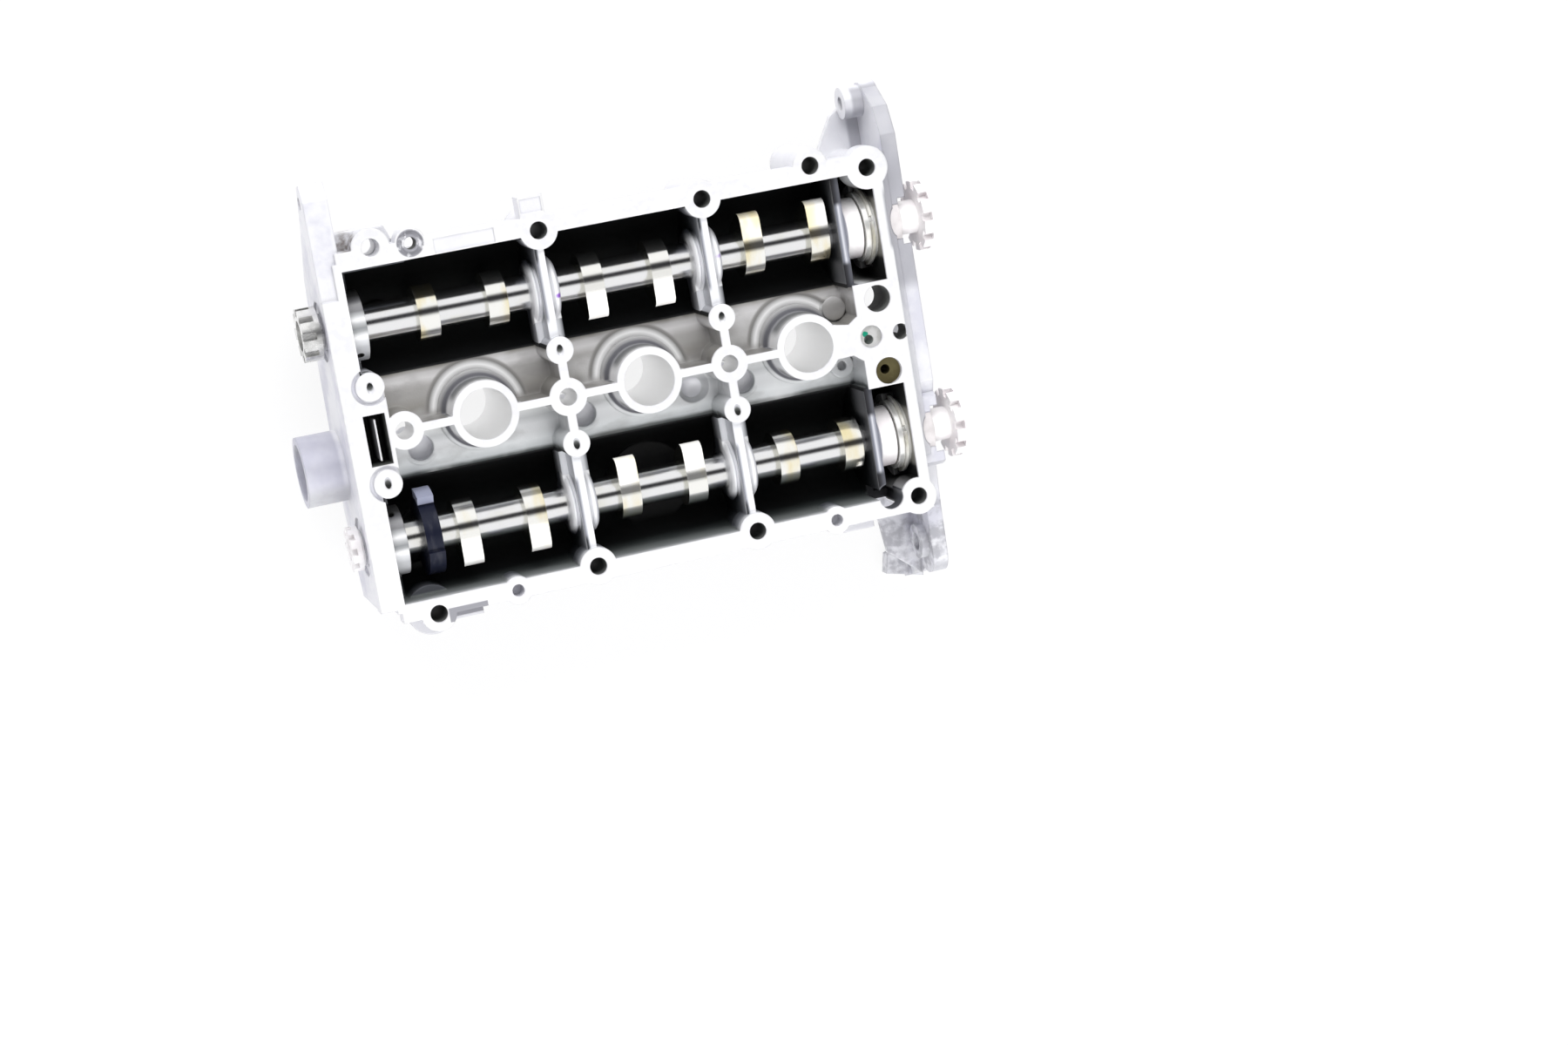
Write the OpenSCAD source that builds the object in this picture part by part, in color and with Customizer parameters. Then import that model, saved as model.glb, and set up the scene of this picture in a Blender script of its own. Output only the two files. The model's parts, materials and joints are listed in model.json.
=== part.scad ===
// Valve cover of a small three-cylinder engine with both camshafts fitted, lying on its
// outer side with the sealing face up. The origin is the middle spark-plug bore at the
// sealing plane. +Z points out of the sealing face, +X runs along the camshafts to the
// drive end, and +Y points to the intake side.

/* [Layout] */
// Distance between neighbouring spark-plug bores
plug_pitch = 82; // [78:0.5:88]
// Distance from the plug line to the intake camshaft axis
intake_y = 51.5; // [50.5:0.25:54]
// Distance from the plug line to the exhaust camshaft axis
exhaust_y = 54.5; // [53:0.25:57]
// Depth of both camshaft axes below the sealing face
cam_depth = 21; // [21:0.25:24]
// Distance from a camshaft axis to its row of outer bolts
bolt_reach = 30; // [29.5:0.25:32]
// Height of the sealing face above the surface that the cover lies on
stand_height = 85; // [80:1:95]

/* [Casting walls] */
// Thickness of the cast walls
wall = 4; // [3:0.25:5]
// Thickness of the sealing flange
flange_t = 10; // [8:0.5:12]
// Width of the sealing flange along the long sides
rail_w = 9; // [8:0.5:11]
// Inner radius of the intake camshaft trough
intake_trough_r = 27; // [26:0.25:28]
// Inner radius of the exhaust camshaft trough
exhaust_trough_r = 28; // [27:0.25:29]
// Depth of the roof along the plug line
roof_depth = 19; // [17:0.5:21]
// Extra depth of the roof where it meets the troughs
roof_fall = 6; // [4:0.5:7]
// Thickness of the web along the plug line
spine_t = 4; // [3:0.25:6]
// Thickness of the bulkheads that carry the bearing rings
bulkhead_t = 4.6; // [4:0.2:6]

/* [Spark-plug towers] */
// Diameter of the spark-plug bores
plug_bore_d = 25; // [23:0.5:26]
// Wall of the towers at the sealing face
tower_wall = 3.8; // [3:0.2:5]
// Length of the towers beyond the roof
tower_out = 44; // [38:1:48]
// Distance along the cover from a plug bore to its coil screw
coil_screw_dx = 30.5; // [29:0.5:32]

/* [Bolts] */
// Diameter of the cover bolt holes
bolt_hole_d = 8.6; // [8:0.1:9]
// Radius of the cast boss round each bolt hole
bolt_boss_r = 9.3; // [8.5:0.1:10]
// Radius of the small bosses that feed oil to the bearings
oil_boss_r = 6.7; // [6:0.1:7.2]
// Diameter of the oil drillings
oil_hole_d = 3.2; // [2:0.1:3.6]

/* [Camshafts] */
// Outer diameter of the camshaft tubes
tube_d = 18; // [17:0.25:19]
// Inner diameter of the camshaft tubes
tube_bore_d = 11; // [10:0.25:12]
// Base circle radius of the lobes
base_r = 13.5; // [12.5:0.1:14]
// Lift of the lobes above the base circle
lift = 7; // [6:0.1:7.2]
// Radius of the lobe noses
nose_r = 5; // [4:0.25:6]
// Width of the lobes
lobe_w = 10; // [8:0.5:12]
// Distance between the two lobes of one cylinder
lobe_pair = 34; // [32:0.5:36]
// Outer radius of the middle bearing rings
ring_r = 15.5; // [14:0.25:16.5]
// Width of the middle bearing rings
ring_w = 13.5; // [12:0.5:15]

/* [Drive end] */
// Outer diameter of the ball bearings
bearing_d = 35; // [34:0.25:36]
// Bore of the ball bearings
bearing_bore_d = 17; // [16:0.25:18]
// Width of the ball bearings
bearing_w = 10; // [9:0.25:11]
// Diameter of the bearing balls
ball_d = 4.8; // [4.2:0.1:5]
// Number of bearing balls
ball_count = 9; // [7:1:10]
// Radius of the hub between web and bearing
hub_r = 15.2; // [13.5:0.1:16]
// Radius of the shaft under the seal
seal_seat_r = 8.4; // [8:0.1:8.6]
// Outer radius of the shaft seal
seal_r = 14; // [13:0.25:15]
// Radius of the slotted drive disc
drive_disc_r = 17.5; // [16:0.25:19]
// Number of slots in the drive disc
drive_slots = 10; // [8:1:12]

/* [End plates] */
// Thickness of the drive end plate
plate_t = 8; // [7:0.25:9]
// Thickness of the rear end plate
rear_plate_t = 12; // [10:0.5:13]
// Outer radius of the round port at the rear end
port_r = 17.5; // [15:0.5:19]
// Length of the round port
port_len = 20; // [16:0.5:24]

/* [Hidden] */
$fn = 64;
eps = 0.4;
press_gap = 0.02;
run_gap = 0.05;
side_gap = 0.3;
ball_gap = 0.03;

// Stations along the cover
plug_xs = [-plug_pitch, 0, plug_pitch];
mid_xs = [-plug_pitch / 2, plug_pitch / 2];
rear_bolt_x = -1.5 * plug_pitch + 1;
front_bolt_x = 1.5 * plug_pitch + 3;
bay_rear_x = rear_bolt_x - 15.5;
rear_face_x = bay_rear_x - rear_plate_t;
roof_rear_x = bay_rear_x + 9.5;
front_web_t = 4;
web_x0 = plug_pitch + 25;
web_x1 = web_x0 + front_web_t;
hub_len = 9.7;
hub_x0 = web_x1 + side_gap;
hub_x1 = hub_x0 + hub_len;
shoulder_t = 0.6;
brg_x0 = hub_x1 + shoulder_t;
brg_x1 = brg_x0 + bearing_w;
wall_x0 = brg_x1 - 4.1;
wall_x1 = brg_x1 + 1.4;
plate_x1 = wall_x1 + 13;
plate_x0 = plate_x1 - plate_t;
front_pad_x = web_x0 + 2;

// Troughs, roof and walls
intake_mid_y = intake_y + 1;
exhaust_mid_y = -exhaust_y - 0.2;
intake_edge_y = intake_mid_y + intake_trough_r;
exhaust_edge_y = exhaust_mid_y - exhaust_trough_r;
intake_inner_y = intake_mid_y - intake_trough_r;
exhaust_inner_y = exhaust_mid_y + exhaust_trough_r;
intake_bolt_y = intake_y + bolt_reach;
exhaust_bolt_y = -exhaust_y - bolt_reach;
rail_in_y = intake_edge_y + rail_w;
rail_ex_y = exhaust_edge_y - rail_w;
tower_r = plug_bore_d / 2 + tower_wall;
tower_end = roof_depth + tower_out;
oil_y = 23;
above = 1;

// Shaft ends
rear_gap = 1.5;
tube_x0 = rear_face_x - 0.5;
coupling_x1 = rear_face_x - rear_gap;
drive_slot_w = 4;
drive_disc_w = 5;
disc_x0 = plate_x1 + 6.5;
disc_x1 = disc_x0 + drive_disc_w;
spigot_len = 25;
counterbore_r = 16;
counterbore_depth = 4;
seal_x0 = wall_x1 + 1.5;
lip_gap = 0.8;
lip_recess_r = seal_seat_r + 4;
seal_x1 = plate_x1 - counterbore_depth;
cage_ratio_r = (bearing_d + bearing_bore_d) / 4;

// Lobe directions in degrees from +Y towards +Z, one for each cylinder
intake_phase = [270, 150, 30];
exhaust_phase = [150, 30, 270];

// A round bar along the camshafts, from x0 to x1
module bar(x0, x1, r, y = 0, z = 0) {
    translate([x0, y, z]) rotate([0, 90, 0]) cylinder(h = x1 - x0, r = r);
}

// An upright round post, from z0 up to z1
module post(x, y, r, z0, z1) {
    translate([x, y, z0]) cylinder(h = z1 - z0, r = r);
}

// A box given by its two opposite corners
module block(lo, hi) {
    translate(lo) cube(hi - lo);
}

// An outline drawn in Y and Z, made solid from x0 to x1
module across(x0, x1) {
    translate([x0, 0, 0]) rotate([90, 0, 90]) linear_extrude(height = x1 - x0) children();
}

// An outline drawn in X and Z, made solid from y0 to y1
module along(y0, y1) {
    translate([0, y1, 0]) rotate([90, 0, 0]) linear_extrude(height = y1 - y0) children();
}

// A revolved profile of radius and station, turned to lie along the camshafts
module turned(y, z) {
    translate([0, y, z]) rotate([0, 90, 0]) rotate_extrude() children();
}

// Sealing flange
pad_w = 12.4;
pad_len = 11;
upper_rear_y = intake_bolt_y + 7;
lower_rear_y = exhaust_bolt_y - 6;
ring_boss_y = intake_bolt_y + 5.5;
side_bolt = [plug_pitch + 15.5, intake_bolt_y + 6];
side_boss_len = 40;
side_hole_r = 4.4;
stud_y = exhaust_edge_y - 4;

bolt_column_r = bolt_boss_r - 1.3;
bolt_column_len = 44;

module flange_outline() {
    translate([bay_rear_x - 2, rail_ex_y])
        square([wall_x1 - bay_rear_x + 2, rail_in_y - rail_ex_y]);
    translate([rear_face_x, exhaust_edge_y - 2])
        square([rear_plate_t + 2, intake_edge_y - 13 - exhaust_edge_y + 2]);
    for (x = mid_xs) {
        translate([x, intake_bolt_y]) circle(bolt_boss_r);
        translate([x, exhaust_bolt_y]) circle(bolt_boss_r);
    }
    translate([front_bolt_x, intake_bolt_y]) circle(bolt_boss_r + 1.4);
    translate([front_bolt_x, exhaust_bolt_y]) circle(bolt_boss_r);
    translate([rear_bolt_x, upper_rear_y]) circle(bolt_boss_r);
    translate([rear_bolt_x, lower_rear_y]) circle(bolt_boss_r - 0.6);
    translate([rear_bolt_x + 19, ring_boss_y]) circle(7.5);
    translate(side_bolt) circle(bolt_boss_r - 0.5);
    for (x = [-plug_pitch, plug_pitch]) translate([x, stud_y - 1]) circle(7);
    translate([mid_xs[0] - pad_w / 2 - 1.8, intake_bolt_y]) square([pad_w, pad_len + 6]);
}

module flange() {
    translate([0, 0, -flange_t]) linear_extrude(height = flange_t) flange_outline();
    post(side_bolt[0], side_bolt[1], bolt_boss_r - 0.5, -side_boss_len, -flange_t + eps);
}

// Outer shell: two troughs, the roof between them and the closed ends
module trough_shape(mid_y, r) {
    translate([mid_y, -cam_depth]) circle(r);
    translate([mid_y - r, -cam_depth]) square([2 * r, cam_depth + above]);
}

module roof_shape(drop) {
    side = roof_depth + roof_fall;
    polygon([
        [exhaust_inner_y - 2, -side - drop], [0, -roof_depth - drop],
        [intake_inner_y + 2, -side - drop], [intake_inner_y + 2, above],
        [exhaust_inner_y - 2, above]
    ]);
}

module shell_solid() {
    across(bay_rear_x - wall, wall_x1) intersection() {
        union() {
            trough_shape(intake_mid_y, intake_trough_r + wall);
            trough_shape(exhaust_mid_y, exhaust_trough_r + wall);
            roof_shape(wall);
        }
        translate([rail_ex_y, -stand_height]) square([rail_in_y - rail_ex_y, stand_height]);
    }
}

module shell_hollow() {
    across(bay_rear_x, wall_x0) trough_shape(intake_mid_y, intake_trough_r);
    across(bay_rear_x, wall_x0) trough_shape(exhaust_mid_y, exhaust_trough_r);
    across(roof_rear_x, front_pad_x) roof_shape(0);
}

// Long bosses that carry the bolts down to the outer side
module bolt_columns() {
    for (x = [mid_xs[0], mid_xs[1], front_bolt_x], y = [intake_bolt_y, exhaust_bolt_y])
        post(x, y, bolt_column_r, -bolt_column_len, -flange_t + eps);
    post(rear_bolt_x, lower_rear_y, bolt_column_r, -bolt_column_len, -flange_t + eps);
}

// Parts of the sealing face that bridge the corners of the two bays
module bay_corners() {
    lip = flange_t + 6;
    intersection() {
        translate([0, 0, -lip]) linear_extrude(height = lip) {
            for (x = mid_xs) {
                translate([x, intake_bolt_y]) circle(bolt_boss_r);
                translate([x, exhaust_bolt_y]) circle(bolt_boss_r);
            }
            translate([front_bolt_x, intake_bolt_y]) circle(bolt_boss_r + 1.4);
            translate([front_bolt_x, exhaust_bolt_y]) circle(bolt_boss_r);
            for (x = [-plug_pitch, plug_pitch]) translate([x, stud_y - 1]) circle(7);
            // Slanted corner between the intake bay and its front bolt
            polygon([
                [front_bolt_x - 12, intake_edge_y + 2], [front_bolt_x - 4, intake_bolt_y - 10],
                [wall_x1, intake_bolt_y - 10], [wall_x1, intake_edge_y + 2]
            ]);
            polygon([
                [front_bolt_x - 8, exhaust_edge_y - 2], [front_bolt_x - 4, exhaust_bolt_y + 8.5],
                [wall_x1, exhaust_bolt_y + 8.5], [wall_x1, exhaust_edge_y - 2]
            ]);
        }
        block([rear_face_x, rail_ex_y, -lip], [wall_x1, rail_in_y, 0]);
    }
}

// Spark-plug tower with its draft, its fillet on the roof and the seat of the coil
module tower_solid(x) {
    base_fillet = 3;
    draft = 0.6;
    coil_seat_t = 6;
    coil_seat_w = 3.5;
    translate([x, 0, -roof_depth]) cylinder(h = roof_depth, r1 = tower_r + draft, r2 = tower_r);
    post(x, 0, tower_r + 1, -tower_end, -roof_depth + eps);
    translate([x, 0, -roof_depth - 3]) rotate_extrude() difference() {
        square([tower_r + draft + base_fillet, base_fillet + 3]);
        translate([tower_r + draft + base_fillet, base_fillet + 3]) circle(base_fillet);
    }
    post(x, 0, tower_r + coil_seat_w, -tower_end, -tower_end + coil_seat_t);
}

// Coil screw boss on the outer side, with a round dimple behind it in the roof
coil_screw_y = -13;
coil_boss_r = 6;
dimple_r = 6.3;
dimple_wall = 2.1;
coil_thread_r = 2.6;
coil_thread_len = 18;

module coil_screw_boss(x) {
    sx = x - coil_screw_dx;
    post(sx, coil_screw_y, dimple_r + dimple_wall, -roof_depth - roof_fall - 6, -roof_depth - 3.5);
    post(sx, coil_screw_y, coil_boss_r, -tower_end, -roof_depth - roof_fall);
}

module coil_screw_cuts(x) {
    sx = x - coil_screw_dx;
    post(sx, coil_screw_y, dimple_r, -roof_depth - 8.5, -roof_depth + 3);
    post(sx, coil_screw_y, coil_thread_r, -tower_end - above, -tower_end + coil_thread_len);
}

// Small cast forms on the roof beside the drive end pad and the middle tower
knob_x = front_pad_x - 6.1;
knob_in_y = 14.1;
knob_ex_y = -15.2;
knob_r = 6;
knob_hole_r = 2.4;
cup_x = plug_pitch / 2 - 14.7;
cup_y = -11.2;
cup_r = 8;

module roof_forms() {
    post(knob_x, knob_in_y, knob_r, -roof_depth - roof_fall, -roof_depth + 1.5);
    post(knob_x, knob_ex_y, knob_r, -roof_depth - roof_fall, -roof_depth - 0.5);
    post(cup_x, cup_y, cup_r + 1.5, -roof_depth - 11, -roof_depth - 4.2);
}

module roof_form_cuts() {
    post(knob_x, knob_ex_y, knob_hole_r, -roof_depth - roof_fall + 1, -roof_depth + 3);
    translate([cup_x, cup_y, -roof_depth - 1]) sphere(cup_r);
}

module plug_line() {
    floor_z = -roof_depth - wall + 1;
    neck_t = 4.4;
    for (x = plug_xs) tower_solid(x);
    block([roof_rear_x - 1, -spine_t / 2, floor_z], [front_pad_x + 1, spine_t / 2, 0]);
    post(rear_bolt_x, 0, bolt_boss_r, floor_z, 0);
    for (x = mid_xs) {
        post(x, 0, bolt_boss_r, floor_z, 0);
        for (s = [-1, 1]) {
            post(x, s * oil_y, oil_boss_r, -roof_depth - roof_fall - wall + 1, 0);
            block([x - neck_t / 2, min(0, s * oil_y), floor_z - 3],
                  [x + neck_t / 2, max(0, s * oil_y), 0]);
        }
    }
    // The web widens from the last tower into the drive end pad
    translate([0, 0, floor_z]) linear_extrude(height = -floor_z) polygon([
        [plug_pitch + tower_r - 6, 9], [front_pad_x - 5, 7], [front_pad_x + 1, 11],
        [front_pad_x + 1, -13], [front_pad_x - 5, -8.5], [plug_pitch + tower_r - 6, -9]
    ]);
}

// Upright columns of the oil feeds at the rear end
module rear_columns() {
    for (s = [-1, 1])
        post(bay_rear_x + 3, s * (oil_y + 0.6), oil_boss_r + 0.3, -cam_depth - 10, 0);
}

// Bulkheads and bearing rings that carry the camshafts
module bulkhead(x, mid_y, r) {
    across(x - bulkhead_t / 2, x + bulkhead_t / 2) intersection() {
        translate([mid_y, -cam_depth]) union() {
            circle(r + 1);
            translate([-r - 1, 0]) square([2 * r + 2, cam_depth - 2]);
        }
        translate([mid_y - r - 1, -cam_depth - r - 1]) square([2 * r + 2, cam_depth + r - 1]);
    }
}

// Bearing ring with rounded shoulders and a groove on each side of the bulkhead
rib_shift = -1.1;
ring_bevel = 2;
ring_groove_d = 1.7;

module bearing_ring(x, cam_y) {
    half = ring_w / 2;
    floor_r = ring_r - ring_groove_d;
    rib_x0 = rib_shift - bulkhead_t / 2;
    rib_x1 = rib_shift + bulkhead_t / 2;
    turned(cam_y, -cam_depth) translate([0, x]) polygon([
        [0, -half], [ring_r - ring_bevel, -half], [ring_r, -half + 1.2], [ring_r, rib_x0 - 1.4],
        [floor_r, rib_x0 - 0.4], [floor_r, rib_x1 + 1], [ring_r, rib_x1 + 2.4],
        [ring_r, half - 1.6], [ring_r - ring_bevel, half], [0, half]
    ]);
}

module bearing_walls(cam_y, mid_y, r) {
    for (x = mid_xs) {
        bulkhead(x + rib_shift, mid_y, r);
        bearing_ring(x, cam_y);
        // Shoulders where the ring grows out of the roof side
        translate([0, 0, -cam_depth])
            block([x - ring_w / 2, min(sign(cam_y) * 24, cam_y), -8],
                  [x + ring_w / 2, max(sign(cam_y) * 24, cam_y), 6]);
    }
    // Rear bearing ring and its ledge
    bar(bay_rear_x - 1, bay_rear_x + 7.7, ring_r + 1.5, cam_y, -cam_depth);
    across(bay_rear_x - 1, bay_rear_x + 4) intersection() {
        translate([mid_y, -cam_depth]) circle(r + 1);
        translate([mid_y - r - 1, -cam_depth - r - 1]) square([2 * r + 2, r + 1]);
    }
    // Web between the last lobe and the hub, up to just below the sealing face
    across(web_x0, web_x1) intersection() {
        trough_shape(mid_y, r + 1);
        translate([mid_y - r - 1, -cam_depth - r - 1]) square([2 * r + 2, cam_depth + r - 2]);
    }
    // Half-round saddle under the ball bearing
    saddle_x0 = hub_x1 + side_gap;
    saddle_r = bearing_d / 2 + 3.5;
    across(saddle_x0, wall_x0 + 1) intersection() {
        union() {
            translate([cam_y, -cam_depth]) circle(saddle_r);
            translate([cam_y - 5, -cam_depth - r - 1]) square([10, r + 1]);
        }
        translate([cam_y - saddle_r, -cam_depth - r - 2]) square([2 * saddle_r, r + 2]);
    }
}

module bearing_bores(cam_y) {
    bar(rear_face_x - 1, hub_x0 + 0.1, tube_d / 2 + run_gap, cam_y, -cam_depth);
    bar(hub_x0 - side_gap - eps, hub_x0 + 1, tube_d / 2 + run_gap + 0.3, cam_y, -cam_depth);
    bar(hub_x1, brg_x1, bearing_d / 2 + press_gap, cam_y, -cam_depth);
    bar(brg_x1 - eps, brg_x1 + lip_gap, lip_recess_r, cam_y, -cam_depth);
    bar(brg_x1, seal_x0 + eps, tube_d / 2 + run_gap, cam_y, -cam_depth);
    bar(seal_x0, plate_x1 + 1, seal_r + press_gap, cam_y, -cam_depth);
    bar(seal_x1, plate_x1 + 1, counterbore_r, cam_y, -cam_depth);
    // Groove of the retaining ring in the saddle
    bar(ring_x0 - 0.4, ring_x1 + 0.4, bearing_d / 2 + 2.2, cam_y, -cam_depth);
}

// Drive end: cove from the sealing face to the plate, the plate and its seal housings
cove_r = 9.6;
plate_top = 10;
ear_in = [112, -34];
ear_ex = [-116, -43];
ear_tip_r = 11.6;
foot_r = 9;
foot_z = foot_r - stand_height;
plate_foot_y = 78;
leg_foot_y = [-142, -122];
leg_foot_t = 7;
leg_foot_w = 20;

module drive_plate_outline() {
    polygon([
        [leg_foot_y[0], -stand_height], [ear_ex[0] - 18, ear_ex[1] - 9],
        [ear_ex[0] - 5.5, ear_ex[1] + 1 + ear_tip_r], [ear_ex[0] + 19, ear_ex[1] + 13.6],
        [-exhaust_y - 5.5, -cam_depth - 4], [-30, -plate_top], [intake_y - 6.5, -plate_top],
        [ear_in[0] - 17, -plate_top + 1], [ear_in[0] - 3, ear_in[1] + 19],
        [ear_in[0] + 6, ear_in[1] + 6.7], [ear_in[0] + 6, ear_in[1] - 6.7],
        [plate_foot_y + foot_r, foot_z], [plate_foot_y - foot_r, foot_z],
        [intake_y - 16, -58], [-exhaust_y + 16, -58], [-exhaust_y - 30, -62],
        [leg_foot_y[1], -stand_height]
    ]);
    translate(ear_in) circle(foot_r);
    translate(ear_ex + [-5.5, 1]) circle(ear_tip_r);
    translate([plate_foot_y, foot_z]) circle(foot_r);
}

// Foot at the end of the exhaust side leg
module leg_foot() {
    translate([0, 0, -stand_height]) linear_extrude(height = leg_foot_t) polygon([
        [plate_x1, leg_foot_y[0]], [plate_x1 - leg_foot_w, leg_foot_y[0] + 5],
        [plate_x1 - leg_foot_w + 2, leg_foot_y[1] - 5], [plate_x1, leg_foot_y[1]]
    ]);
}

module drive_end() {
    across(plate_x0, plate_x1) drive_plate_outline();
    // Cove that falls from the flange edge to the plate
    along(-exhaust_y - 12, intake_bolt_y + 6) difference() {
        translate([wall_x1 - eps, -plate_top - 6]) square([plate_x0 - wall_x1 + 1, plate_top + 6]);
        translate([wall_x1 + cove_r, 0]) circle(cove_r);
        translate([wall_x1 + cove_r, -plate_top + 0.4]) square([10, plate_top]);
    }
    // Seal housings round both shafts
    for (y = [intake_y, -exhaust_y]) intersection() {
        bar(wall_x1 - 1, plate_x1, seal_r + 6, y, -cam_depth);
        block([wall_x1 - 1, y - 30, -80], [plate_x1, y + 30, -plate_top]);
    }
    // Ribs between the end wall and the plate
    for (y = [rail_in_y - 5, 18, -20, rail_ex_y + 1])
        block([wall_x1 - 1, y, -cam_depth - 24], [plate_x0 + 1, y + 4, -plate_top - 4]);
    // Bosses of the two ears, on the plate's inner face
    bar(plate_x0 - 10, plate_x0 + 1, foot_r - 1, ear_in[0], ear_in[1]);
    bar(plate_x0 - 4, plate_x0 + 1, foot_r, ear_ex[0], ear_ex[1]);
    // Level webs that tie the ears to the cover
    translate([0, 0, ear_ex[1] - 16]) linear_extrude(height = 4) polygon([
        [plug_pitch + 27, exhaust_edge_y + 2], [plug_pitch + 38, ear_ex[0] + 12],
        [plug_pitch + 40, ear_ex[0] - 5.5], [plate_x0 + 1, ear_ex[0] - 20],
        [plate_x0 + 1, exhaust_edge_y + 2]
    ]);
    leg_foot();
    translate([0, 0, ear_in[1] - 11.4]) linear_extrude(height = 4) polygon([
        [plug_pitch + 26, intake_edge_y - 2], [plate_x0 - 14, ear_in[0] - 6],
        [plate_x0 + 1, ear_in[0] + 4], [plate_x0 + 1, intake_edge_y - 2]
    ]);
}

module drive_end_holes() {
    bar(plate_x0 - 12, plate_x1 + 1, 3.4, ear_in[0], ear_in[1]);
    bar(plate_x0 - 6, plate_x1 + 1, 4.6, ear_ex[0], ear_ex[1]);
    bar(plate_x0 - 1, plate_x1 + 1, 3.4, plate_foot_y, foot_z);
}

// Rear end: plate with its upper ear, the round port, the webs beside the end bolts and the
// two round feet under the troughs
rear_foot_x = rear_bolt_x + 4;
rear_foot_r = 8;
rear_foot_ys = [intake_y - 1, -exhaust_y + 1];
port_y = -16;
port_depth = 40;
rear_top = 1.6;
ear_reach = 43;
rear_ear = [intake_edge_y + 34, -12];
web_top = 14;
web_t = 12;
coupling_recess_r = 14.6;
coupling_recess_t = 1.2;

module rear_plate_outline() {
    polygon([
        [exhaust_edge_y - 1, -rear_top], [intake_edge_y + ear_reach - 8, -rear_top],
        [intake_edge_y + ear_reach, -7], [intake_edge_y + ear_reach - 1, -12],
        [intake_edge_y + 21.5, -25], [intake_edge_y - 3.5, -45], [intake_y - 6, -54],
        [-exhaust_y + 14, -62], [exhaust_edge_y - 1, -50]
    ]);
}

module rear_end() {
    across(rear_face_x, rear_face_x + rear_plate_t) rear_plate_outline();
    bar(rear_face_x - port_len, rear_face_x + 1, port_r, port_y, -port_depth);
    for (y = rear_foot_ys) post(rear_foot_x, y, rear_foot_r, -stand_height, -cam_depth - 25);
    translate([0, 0, -web_top - web_t]) linear_extrude(height = web_t) {
        polygon([
            [bay_rear_x - 1, intake_edge_y - 2], [bay_rear_x - 1, upper_rear_y + 8],
            [rear_bolt_x + 10, upper_rear_y + 8], [rear_bolt_x + 17, intake_edge_y - 2]
        ]);
        translate([rear_bolt_x - 1, lower_rear_y]) circle(bolt_boss_r + 3);
    }
    // Ledges under the exhaust rail
    for (x = [rear_bolt_x + 7.5, plug_pitch + 6])
        block([x, rail_ex_y - 5.5, -30], [x + 16, rail_ex_y + 3, -12]);
    // Ribs from the rear plate to the shell
    for (y = [intake_edge_y - 4, exhaust_edge_y + 8])
        along(y, y + 4) polygon([
            [bay_rear_x - 1, -cam_depth - 20], [bay_rear_x - 1, -66], [bay_rear_x + 26, -46],
            [bay_rear_x + 26, -cam_depth - 20]
        ]);
}

module rear_end_holes() {
    bar(rear_face_x - port_len - 1, rear_face_x + 8, port_r - 3.5, port_y, -port_depth);
    bar(rear_face_x - 1, bay_rear_x + 1, 3.4, rear_ear[0], rear_ear[1]);
    for (y = [intake_y, -exhaust_y])
        bar(rear_face_x - 1, rear_face_x + coupling_recess_t, coupling_recess_r, y, -cam_depth);
}

// Outer side: filler neck and ribs, which the sealing side hides
neck_r = 21;
neck_bore_r = 17.5;
neck_out = 70;
neck_floor_t = 3;

module outer_side() {
    post(0, -exhaust_y - 2, neck_r, -neck_out, -cam_depth - 20);
    for (x = mid_xs)
        across(x - 2, x + 2) polygon([
            [intake_y, -cam_depth - intake_trough_r - 1], [intake_y - 20, -cam_depth - 20],
            [0, -roof_depth - wall + 1], [-exhaust_y + 20, -cam_depth - 20],
            [-exhaust_y, -cam_depth - exhaust_trough_r - 1], [0, -cam_depth - 27]
        ]);
    block([plug_xs[0], -2, -tower_end + 16], [plug_xs[2], 2, -roof_depth - 1]);
}

module outer_side_cuts() {
    post(0, -exhaust_y - 2, neck_bore_r, -neck_out - 1,
         -cam_depth - exhaust_trough_r - neck_floor_t);
}

// Holes that are drilled from the sealing face
module bolt_hole(x, y, depth = 60) {
    post(x, y, bolt_hole_d / 2, -depth, above);
}

module sealing_face_holes() {
    for (x = mid_xs) {
        bolt_hole(x, intake_bolt_y);
        bolt_hole(x, exhaust_bolt_y);
        bolt_hole(x, 0);
    }
    bolt_hole(front_bolt_x, intake_bolt_y);
    bolt_hole(front_bolt_x, exhaust_bolt_y);
    bolt_hole(rear_bolt_x, upper_rear_y);
    bolt_hole(rear_bolt_x, lower_rear_y);
    bolt_hole(rear_bolt_x, 0);
    post(side_bolt[0], side_bolt[1], side_hole_r, -60, above);
    post(rear_bolt_x + 19, ring_boss_y, 3, -60, above);
    for (x = [-plug_pitch, plug_pitch]) post(x, stud_y - 1, 3, -8, above);
    for (x = plug_xs) post(x, 0, plug_bore_d / 2, -stand_height, above);
    post(front_pad_x + 21, -1.4, 4, -60, above);
}

// Oil drillings slant from the small bosses down to the bearings
module oil_drilling(x, s, cam_y) {
    run = cam_y - s * oil_y;
    translate([x, s * oil_y, 0])
        rotate([s * atan2(abs(run), cam_depth), 0, 0])
            translate([0, 0, -norm([run, cam_depth])])
                cylinder(h = norm([run, cam_depth]) + 4, d = oil_hole_d);
}

// Blind slot at the rear end, with a thin fin that stands on its floor
module rear_slot() {
    slot_depth = 20;
    translate([0, 0, -slot_depth]) linear_extrude(height = slot_depth + above) difference() {
        translate([bay_rear_x - 3.1, -14.4]) square([10.6, 24.8]);
        translate([bay_rear_x + 1.7, -12]) square([0.8, 20]);
    }
}

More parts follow.
